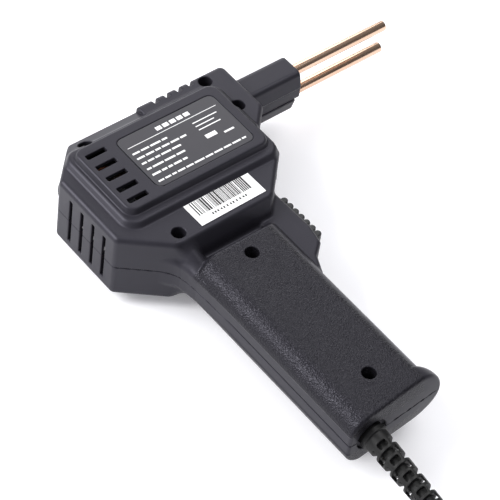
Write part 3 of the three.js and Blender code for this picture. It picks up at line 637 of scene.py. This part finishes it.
def half_form(x, y, z, right):
    """One half of the shell, drawn on +Z, with everything that is cut into it."""
    outer = outer_form(x, y, z)
    shell = round_max(outer, -(outer + WALL), 0.2)
    for sx, sy in SCREWS:
        off = np.hypot(x - sx, y - sy)
        shell = np.minimum(shell, np.maximum(off - SCREW_POST, outer))
        if right:
            shell = cut_from(shell, off - SCREW_HOLE, 0.1)
            shell = cut_from(shell, np.maximum(off - SCREW_BORE, SCREW_SEAT - z), 0.35)
        else:
            shell = cut_from(shell, np.maximum(off - SCREW_HOLE, z - SCREW_END), 0.1)
    for tool in vents(x, y, z):
        shell = cut_from(shell, tool, 0.3)
    if right:
        recess = np.maximum(rectangle(x, y, *LABEL, LABEL_CORNER), LABEL_FLOOR - z)
        shell = cut_from(shell, recess, 0.3)
    shell = cut_from(shell, np.maximum(rectangle(x, y, *SWITCH_ROOM), z - SWITCH_HALF), 0.1)
    shell = cut_from(shell, np.maximum(rectangle(x, y, *TRIGGER_MOUTH), z - MOUTH_HALF), 0.5)
    shell = round_max(shell, SEAM - z, 0.06)
    front, lip = NOSE_RIGHT if right else NOSE_LEFT
    nose = round_max(rounded(y, z, NOSE, NOSE_CORNER), lip - z, 0.7)
    nose = round_max(nose, np.maximum(x - front, NOSE_START - x), 1.0)
    shell = round_min(shell, nose, 0.9)
    if right:
        tongue = rectangle(y, z, *TONGUE, 0.5)
        shell = np.minimum(shell, round_max(tongue, np.maximum(x - front, TONGUE_START - x), 0.5))
    shell = cut_from(shell, np.maximum(rectangle(y, z, *ROD_SLOT, 0.5), ROD_SLOT_START - x), 0.4)
    pocket = np.maximum(disc(x, z, RELIEF_X, 0, POCKET_R), y - (GRIP_END + POCKET_DEEP))
    shell = cut_from(shell, pocket, 0.4)
    outlet = np.maximum(disc(x, z, RELIEF_X, 0, OUTLET_R), y - (GRIP_END + OUTLET_DEEP))
    shell = cut_from(shell, outlet, 0.3)
    for sx in SLITS:
        across = rectangle(x, z, sx - SLIT_LONG / 2, -1, sx + SLIT_LONG / 2, SLIT_WIDE / 2)
        shell = np.maximum(shell, -np.maximum(across, y - (GRIP_END + SLIT_DEEP)))
    return shell


def right_form(x, y, z):
    return half_form(x, y, z, True)


def left_form(x, y, z):
    return half_form(x, y, z, False)


def add_housing(material):
    step = 0.62
    ratio = 0.3
    low, high = (REAR - 1, GRIP_END - 1.5), (TOP + 1.5, SIDE + 1.1)  # a little past the shell
    bottom, front = TONGUE[1] - 1.2, NOSE_RIGHT[0] + 1.5
    right = formed_mesh("right_shell", right_form, (*low, bottom), (front, *high), step, ratio)
    piece("right_shell", right, material, replaces=["right_housing"])
    bottom, front = -0.7, NOSE_LEFT[0] + 1.6
    left = formed_mesh("left_shell", left_form, (*low, bottom), (front, *high), step, ratio, True)
    piece("left_shell", left, material, replaces=["left_housing"])


# ---------------------------------------------------------------- trigger, relief and plug forms
TRIGGER_LOW, TRIGGER_HALF = -50.6, 5.5
TRIGGER = [(66.5, TRIGGER_LOW), (79.6, TRIGGER_LOW), (80.6, -36), (79.8, -19), (74, -19), (66.5, -22.5)]
RIDGES, RIDGE_X, RIDGE_Y, RIDGE_PITCH, RIDGE_R = 7, 80.5, -21.7, 4.3, 1.9
ARM, ARM_CORNER, ARM_HALF = (67.1, -24, 73.9, -11.1), 3.4, 3.0
PIVOT = (70.5, -14.5, 1.55)


def trigger_form(x, y, z):
    """A finger pad with round ridges, on an arm that the pivot pin goes through."""
    plan = rounded(x, y, TRIGGER, 1.2)
    for i in range(RIDGES):
        plan = np.minimum(plan, disc(x, y, RIDGE_X, RIDGE_Y - RIDGE_PITCH * i, RIDGE_R))
    plan = np.maximum(plan, TRIGGER_LOW - y)
    finger = plate_form(plan, np.abs(z), TRIGGER_HALF, 0.9)
    arm = np.maximum(rectangle(x, y, *ARM, ARM_CORNER), np.abs(z) - ARM_HALF)
    return cut_from(round_min(finger, arm, 0.5), disc(x, y, *PIVOT), 0.1)


RELIEF_BACK, RELIEF_END, RELIEF_COLLAR = -146.0, -210.5, -152.8
RELIEF_R, RELIEF_TAPER, RELIEF_BORE, WAIST_R = 6.5, 1.2, 3.8, 6.1
FLANGE_R, FLANGE_THICK, COLLAR_R, COLLAR_THICK = 8.4, 2.3, 7.3, 2.8
GROOVE_R, GROOVE_ALONG, GROOVE_DEEP = 6.9, 3.4, 0.45
SAG, SAG_START = 0.15, 6.0
LEVELS, LEVEL_START, LEVEL_PITCH, WINDOW_HALF, WINDOW_FLOOR = 10, 8.8, 4.67, 1.6, 2.0
WINDOW_TURN = 32  # degrees
WINDOWS = (((-8, 24), (87, 45)), ((8, 68),))  # (centre, half width) in degrees, on even and odd levels


def sag_at(y):
    """How far the strain relief has sunk under the cord's weight."""
    out = np.maximum(GRIP_END - y, 0)
    return SAG * out ** 2 / (out + SAG_START)


def relief_form(x, y, z):
    """A tapering sleeve whose windows alternate, two and two, at right angles."""
    across, up = x - RELIEF_X, z + sag_at(y)
    r = np.hypot(across, up)
    along = RELIEF_COLLAR - y
    taper = RELIEF_R - RELIEF_TAPER * np.clip(along / (RELIEF_COLLAR - RELIEF_END), 0, 1)
    sleeve = round_max(r - taper, np.maximum(RELIEF_END - y, y - RELIEF_COLLAR), 0.5)
    waist = np.maximum(r - WAIST_R, np.maximum(RELIEF_COLLAR - 1 - y, y - RELIEF_BACK))
    flange = np.maximum(y - RELIEF_BACK, RELIEF_BACK - FLANGE_THICK - y)
    flange = round_max(r - FLANGE_R, flange, 0.4)
    collar = round_max(r - COLLAR_R, np.maximum(-along, along - COLLAR_THICK), 0.4)
    whole = np.minimum(np.minimum(round_min(sleeve, collar, 0.5), waist), flange)
    whole = cut_from(whole, np.hypot(r - GROOVE_R, along - GROOVE_ALONG) - GROOVE_DEEP, 0.1)
    cosine, sine = math.cos(math.radians(WINDOW_TURN)), math.sin(math.radians(WINDOW_TURN))
    turn = np.arctan2(-across * cosine - up * sine, up * cosine - across * sine)
    for i in range(LEVELS):
        middle = LEVEL_START + i * LEVEL_PITCH
        low, high = middle - WINDOW_HALF, middle + WINDOW_HALF
        for centre, half in WINDOWS[i % 2]:
            off = np.abs((turn - math.radians(centre) + math.pi / 2) % math.pi - math.pi / 2)
            reach = math.radians(half) * 6
            window = rectangle(along, off * r, low, -reach, high, reach, 0.8)
            whole = cut_from(whole, np.maximum(window, WINDOW_FLOOR - r), 0.15)
    return cut_from(whole, r - RELIEF_BORE, 0.2)


def add_formed_pieces(trigger_look, rubber):
    step = 0.4
    mesh = formed_mesh("trigger_lever", trigger_form, (65.5, -51.8, -6.3), (84, -10.2, 6.3), step, 0.5)
    piece("trigger_lever", mesh, trigger_look, "trigger", ["trigger"])
    low = (RELIEF_X - 9.2, RELIEF_END - 1, -14.5)
    high = (RELIEF_X + 9.2, RELIEF_BACK + 1, 9.2)
    mesh = formed_mesh("relief_sleeve", relief_form, low, high, step, 0.6)
    piece("relief_sleeve", mesh, rubber, "housing", ["strain_relief"])


# ---------------------------------------------------------------- turned and printed pieces
def lathe(name, profile, start, sides=64):
    """[radius, distance] pairs turned about a line along +X, with smooth sides and crisp ends."""
    made = bmesh.new()
    rings = []
    for r, along in profile:
        ring = []
        for i in range(sides if r > 0 else 1):
            angle = 2 * math.pi * i / sides
            point = (start[0] + along, start[1] + r * math.cos(angle), start[2] + r * math.sin(angle))
            ring.append(made.verts.new(to_row(point)))
        rings.append(ring)
    for a, b in zip(rings, rings[1:]):
        for i in range(sides):
            j = (i + 1) % sides
            corners = [a[i % len(a)], a[j % len(a)], b[j % len(b)], b[i % len(b)]]
            unique = list(dict.fromkeys(corners))
            made.faces.new(unique)
    bmesh.ops.recalc_face_normals(made, faces=made.faces)
    mesh = bpy.data.meshes.new(name)
    made.to_mesh(mesh)
    made.free()
    mesh.shade_smooth()
    mesh.set_sharp_from_angle(angle=math.radians(35))
    return mesh


ROD_Y, ROD_Z, ROD_R = 43.9, 7.9, 2.95
ROD_BACK, ROD_TIP = 82.0, 202.2
TIP_BORE_R, TIP_BORE_DEEP = 1.1, 8.0


def add_rods(material):
    long = ROD_TIP - ROD_BACK
    profile = [
        (0, 0), (ROD_R - 0.3, 0), (ROD_R, 0.3), (ROD_R, long - 0.35), (ROD_R - 0.12, long - 0.1),
        (ROD_R - 0.4, long), (TIP_BORE_R, long), (TIP_BORE_R - 0.1, long - 0.15),
        (TIP_BORE_R - 0.1, long - TIP_BORE_DEEP), (0, long - TIP_BORE_DEEP),
    ]
    for name, side in (("upper", 1), ("lower", -1)):
        mesh = lathe(f"rod_{name}", profile, (ROD_BACK, ROD_Y, side * ROD_Z))
        piece(f"rod_{name}", mesh, material, replaces=[f"electrode_{name}"])


def slabs(name, boxes):
    """Thin closed boxes: [x0, y0, x1, y1, z0, z1] each."""
    made = bmesh.new()
    for x0, y0, x1, y1, z0, z1 in boxes:
        corners = [
            made.verts.new(to_row((x, y, z)))
            for z in (z0, z1) for x, y in ((x0, y0), (x1, y0), (x1, y1), (x0, y1))
        ]
        for face in ((3, 2, 1, 0), (4, 5, 6, 7), (0, 1, 5, 4), (1, 2, 6, 5), (2, 3, 7, 6), (3, 0, 4, 7)):
            made.faces.new([corners[i] for i in face])
    mesh = bpy.data.meshes.new(name)
    made.to_mesh(mesh)
    made.free()
    return mesh


def add_label_print(white):
    """A rule, a heading block and rows of bars that stand for small print. None of it spells anything."""
    draw = random.Random(11)
    base, thick = 26.26, 0.05
    marks = [(23.4, 33.15, 78.0, 33.5)]
    for i in range(5):
        x = 43 + i * 4.3
        marks.append((x, 35.2, x + 3.3, 37.6))
    rows = [
        (29.0, 21, 1.1), (25.3, 30, 1.1), (21.5, 24, 1.1), (17.3, 24, 1.1), (13.0, 22, 1.2), (8.1, 54, 1.0),
    ]
    for y, long, high in rows:
        x, end = 23.2, 23.2 + long
        while x < end - 1:
            word = min(draw.uniform(2.4, 6.5), end - x)
            marks.append((x, y - high / 2, x + word, y + high / 2))
            x += word + 0.9
    marks += [
        (60.5, 29.2, 75.5, 29.8), (60.5, 26.6, 72, 27.2), (60.5, 24, 74, 24.6),
        (60.5, 17.4, 67, 20), (70.2, 15.8, 76.2, 16.9),
    ]
    mesh = slabs("label_print", [(*mark, base, base + thick) for mark in marks])
    piece("label_print", mesh, white)


STICKER_MIDDLE, STICKER_TURN = (46.7, -13.8), 0.014


def add_sticker_stripes(black):
    """Upright stripes of seeded widths on the white sticker, and a row of dots. They encode nothing."""
    draw = random.Random(5)
    base, thick, narrow = 20.26, 0.04, 0.35
    top, foot, dot_top, dot_foot = 6.4, -2.4, -4.0, -5.3
    stripes, x, end = [], -17.0, 15.6
    while x < end:
        wide = draw.choice((narrow, narrow, 2 * narrow, 3 * narrow))
        stripes.append((x, foot, x + wide, top, base, base + thick))
        x += wide + draw.choice((narrow, narrow, 2 * narrow))
    x, end = -11.0, 10.0
    while x < end:
        stripes.append((x, dot_foot, x + 0.9, dot_top, base, base + thick))
        x += draw.choice((1.6, 2.1))
    mesh = slabs("sticker_stripes", stripes)
    there = Matrix.Translation(row_point(*STICKER_MIDDLE, 0))
    mesh.transform(there @ Matrix.Rotation(STICKER_TURN, 4, "Z") @ Matrix.Translation(-SHIFT))
    piece("sticker_stripes", mesh, black)


# ---------------------------------------------------------------- cord
CORD_R, CORD_START = 3.3, -205.5
LANE, MEAN_R, COIL_Y, LAYERS, CLEAR = 6.9, 39.6, -283.0, 4, 0.6  # the coil, two lanes wide
MOVES, MOVE_LONG = range(20, 1881, 310), 50  # degrees turned where the cord changes lane or layer
TURNED = 1980  # degrees in all
OUTER_R = MEAN_R + LANE / 2
COIL_X = RELIEF_X - OUTER_R
TAIL_X = COIL_X - OUTER_R
PLUG_START = -251.0


def layer_z(layer):
    return -SIDE + CLEAR + CORD_R + layer * LANE


def eased(t):
    return t * t * (3 - 2 * t)


def sink_route(x, start, end, slope, count):
    """From one (y, z) to another, leaving at a slope and arriving level."""
    (y0, z0), (y1, z1) = start, end
    points = []
    for i in range(count + 1):
        t = i / count
        leaving = t * (1 - t) ** 2 * abs(y1 - y0) * slope
        points.append((x, y0 + (y1 - y0) * t, z0 + (z1 - z0) * eased(t) - leaving))
    return points


def coil_route():
    """Five and a half turns: out to in at the floor, up the inner lane, across, and down the outer lane."""
    inner, outer = MEAN_R - LANE / 2, OUTER_R
    stops = [(outer, 0), (inner, 0), (inner, 1), (inner, 2), (inner, 3), (outer, 3), (outer, 2), (outer, 1)]
    points = []
    for turned in range(0, TURNED + 1, 9):
        radius, layer = stops[0]
        for move, (next_radius, next_layer) in zip(MOVES, stops[1:]):
            share = eased(min(max((turned - move) / MOVE_LONG, 0), 1))
            radius += (next_radius - radius) * share
            layer += (next_layer - layer) * share
        angle = -math.radians(turned)
        points.append((
            COIL_X + radius * math.cos(angle), COIL_Y + radius * math.sin(angle),
            layer_z(0) + layer * LANE,
        ))
    return points


def add_cord(material):
    ring_edge = OUTER_R + CORD_R
    meet = COIL_Y + math.sqrt(ring_edge ** 2 - (OUTER_R - CORD_R) ** 2) + 0.6
    lead = sink_route(RELIEF_X, (CORD_START, -sag_at(CORD_START)), (meet, layer_z(0)), SAG, 14)
    lead += [(RELIEF_X, meet + (COIL_Y - meet) * k, layer_z(0)) for k in (0.33, 0.66)]
    coil = coil_route()
    tail = sink_route(TAIL_X, (COIL_Y, layer_z(1)), (PLUG_START - 0.2, layer_z(0)), 0, 8)[1:]
    route = to_row(lead + coil + tail)
    curve = bpy.data.curves.new("power_cord", "CURVE")
    curve.dimensions = "3D"
    curve.bevel_depth = CORD_R * MM
    curve.bevel_resolution = 6
    curve.use_fill_caps = True
    spline = curve.splines.new("POLY")
    spline.points.add(len(route) - 1)
    for point, place in zip(spline.points, route):
        point.co = (*place, 1.0)
    spline.use_smooth = True
    made = bpy.data.objects.new("power_cord", curve)
    bpy.context.scene.collection.objects.link(made)
    curve.materials.append(material)
    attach(made, "housing")
    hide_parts("cord", "cord_coil", "cord_tail")
    length = float(np.linalg.norm(np.diff(route, axis=0), axis=1).sum())
    return made, tuple(route[0]), length


PLUG_WIDE, PLUG_HIGH, PLUG_LONG, PLUG_CORNER, PLUG_WAIST = 35.3, 13.7, 22.0, 6.6, 1.4
STEM_LONG, STEM_R, STEM_GROWS, STEM_RINGS, RING_START, RING_PITCH = 14.0, 4.5, 1.2, 3, 3.2, 3.4


def plug_form(x, y, z):
    """A flat two-pin plug with a waist, on a ringed stem."""
    middle = layer_z(0) - CORD_R + PLUG_HIGH / 2
    nose_end = PLUG_START + STEM_LONG
    half_wide, half_high = PLUG_WIDE / 2, PLUG_HIGH / 2
    flat = rectangle(x - TAIL_X, z - middle, -half_wide, -half_high, half_wide, half_high, PLUG_CORNER)
    waist = np.clip((y - nose_end) / PLUG_LONG, 0, 1)
    flat = flat + PLUG_WAIST * np.sin(waist * math.pi)
    body = round_max(flat, np.maximum(nose_end - y, y - (nose_end + PLUG_LONG)), 1.5)
    taper = STEM_R + STEM_GROWS * np.clip((y - PLUG_START) / STEM_LONG, 0, 1)
    stem = round_max(disc(x, z, TAIL_X, middle, taper), np.maximum(PLUG_START - y, y - nose_end - 3), 0.8)
    for i in range(STEM_RINGS):
        ring = np.abs(y - (PLUG_START + RING_START + i * RING_PITCH)) - 0.6
        stem = cut_from(stem, np.maximum(ring, (taper - 0.8) - np.hypot(x - TAIL_X, z - middle)), 0.2)
    return round_min(body, stem, 2.5)


def add_plug(material):
    low = (TAIL_X - 18.4, PLUG_START - 1, -27.3)
    high = (TAIL_X + 18.4, PLUG_START + 37.5, -10.5)
    mesh = formed_mesh("plug_moulding", plug_form, low, high, 0.55, 0.5)
    return piece("plug_moulding", mesh, material, replaces=["plug_body"])


def add_tie(material):
    """A flat strap round the coil's far side."""
    inner, outer = MEAN_R - LANE / 2 - CORD_R - 0.15, OUTER_R + CORD_R + 0.15
    low, high = layer_z(0) - CORD_R - 0.1, layer_z(LAYERS - 1) + CORD_R + 0.15
    thick, half_wide = 0.45, 4.0
    angle = math.radians(-60)
    section = [(inner, low), (outer, low), (outer, high), (inner, high)]
    hull = [
        (inner - thick, low - thick), (outer + thick, low - thick),
        (outer + thick, high + thick), (inner - thick, high + thick),
    ]
    made = bmesh.new()
    loops = []
    for corners in (section, hull):
        for side in (-half_wide, half_wide):
            ring = []
            for r, z in corners:
                x = COIL_X + r * math.cos(angle) - side * math.sin(angle)
                y = COIL_Y + r * math.sin(angle) + side * math.cos(angle)
                ring.append(made.verts.new(to_row((x, y, z))))
            loops.append(ring)
    in_a, in_b, out_a, out_b = loops
    for i in range(4):
        j = (i + 1) % 4
        made.faces.new((in_a[i], in_b[i], in_b[j], in_a[j]))
        made.faces.new((out_a[j], out_b[j], out_b[i], out_a[i]))
        made.faces.new((in_a[j], out_a[j], out_a[i], in_a[i]))
        made.faces.new((in_b[i], out_b[i], out_b[j], in_b[j]))
    bmesh.ops.recalc_face_normals(made, faces=made.faces)
    mesh = bpy.data.meshes.new("cord_tie")
    made.to_mesh(mesh)
    made.free()
    return piece("cord_tie", mesh, material)


# ---------------------------------------------------------------- everything together
def repaint(names, material):
    """CAD nodes whose shape is right keep it and get a finished material."""
    for name in names:
        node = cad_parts[name]
        node.data.materials.clear()
        node.data.materials.append(material)


def add_stage():
    mesh = bpy.data.meshes.new("floor")
    half = 6.0  # metres
    corners = [(-half, -half, 0), (half, -half, 0), (half, half, 0), (-half, half, 0)]
    mesh.from_pydata(corners, [], [(0, 1, 2, 3)])
    floor = bpy.data.objects.new("floor", mesh)
    bpy.context.scene.collection.objects.link(floor)
    n = Nodes("pale_floor")
    n.set(Base_Color=(0.90, 0.90, 0.915, 1), Roughness=0.9, Specular_IOR_Level=0.1)
    n.set(Emission_Color=(0.97, 0.96, 1.0, 1), Emission_Strength=0.18)
    mesh.materials.append(n.material)


def add_light(name, place, aim, size, power, tint=(1, 1, 1)):
    data = bpy.data.lights.new(name, "AREA")
    data.shape = "DISK"
    data.size = size
    data.energy = power
    data.color = tint
    light = bpy.data.objects.new(name, data)
    light.location = place
    light.rotation_euler = (Vector(aim) - Vector(place)).to_track_quat("-Z", "Y").to_euler()
    bpy.context.scene.collection.objects.link(light)


BRIGHT_SIDE = (-0.75, 0.35, 0.55)
DIM, BRIGHT = 0.14, 0.92


def add_lights():
    """A room that is bright on the tool's rear side and dim on its front side, and three soft lamps."""
    world = bpy.data.worlds.new("soft_room")
    world.use_nodes = True
    tree = world.node_tree
    around = tree.nodes.new("ShaderNodeTexCoord")
    toward = tree.nodes.new("ShaderNodeVectorMath")
    toward.operation = "DOT_PRODUCT"
    toward.inputs[1].default_value = Vector(BRIGHT_SIDE).normalized()
    tree.links.new(around.outputs["Generated"], toward.inputs[0])
    level = tree.nodes.new("ShaderNodeMapRange")
    level.inputs["From Min"].default_value = -0.5
    level.inputs["To Min"].default_value = DIM
    level.inputs["To Max"].default_value = BRIGHT
    tree.links.new(toward.outputs["Value"], level.inputs["Value"])
    tree.links.new(level.outputs["Result"], tree.nodes["Background"].inputs["Strength"])
    tree.nodes["Background"].inputs["Color"].default_value = (0.96, 0.96, 1.0, 1)
    bpy.context.scene.world = world
    add_light("key", (-1.05, 0.75, 1.0), (0, 0, 0), 0.9, 26.0)
    add_light("overhead", (0.6, -0.1, 1.6), (0, 0, 0), 1.2, 12.0)
    add_light("far_side", (0.80, 1.20, 0.72), (0.05, 0.05, 0), 1.2, 9.0)
    bpy.context.scene.view_settings.view_transform = "Standard"


rubber = black_rubber()
made_cord, cord_exit, cord_length = add_cord(rubber)
plug = add_plug(rubber)
tie = add_tie(moulded("strap", (0.02, 0.02, 0.022), 0.45))

shell_look = shell_plastic()
add_housing(shell_look)
trigger_look = moulded("trigger_plastic", (0.014, 0.014, 0.016), 0.42)
add_formed_pieces(trigger_look, black_rubber("relief_rubber", 0.0045, 0.44))
copper = drawn_copper()
add_rods(copper)
add_label_print(ink("white_print", 0.8))
add_sticker_stripes(ink("black_print", 0.012))

zinc = metal("zinc_plate", (0.62, 0.62, 0.60))
brass = metal("brass", (0.80, 0.62, 0.28))
# The housing screws are a darker grey than the zinc plate: partly their steel, partly painted shade for
# where they sit deep in their holes.
repaint([f"housing_screw_{i}" for i in range(1, 7)], metal("screw_steel_painted_shade", (0.42, 0.42, 0.44)))
repaint(["trigger_pivot_pin", "trigger_spring", "clamp_screw_upper", "clamp_screw_lower",
         "cord_clamp_screw_1", "cord_clamp_screw_2"], zinc)
repaint(["electrode_clamp_upper", "electrode_clamp_lower", "plug_pin_1", "plug_pin_2"], brass)
repaint(["secondary_lead_upper", "secondary_lead_lower"], copper)
repaint(["primary_winding", "secondary_winding", "primary_wire", "return_wire"], wound_wire())
repaint(["transformer_core"], laminations())
nylon = moulded("nylon", (0.80, 0.77, 0.68))
repaint(["bobbin", "terminal_block", "switch_plunger", "cord_clamp"], nylon)
phenolic = moulded("phenolic", (0.03, 0.028, 0.027), 0.55)
repaint(["switch_body", "electrode_holder", "thermal_fuse"], phenolic)
repaint(["live_wire", "switched_wire"], moulded("brown_sleeve", (0.22, 0.09, 0.04)))
repaint(["neutral_wire", "fuse_wire"], moulded("blue_sleeve", (0.04, 0.12, 0.40)))
repaint(["inner_lead"], rubber)
repaint(["rating_plate"], label_film())
repaint(["barcode_sticker"], label_paper())

add_stage()
add_lights()
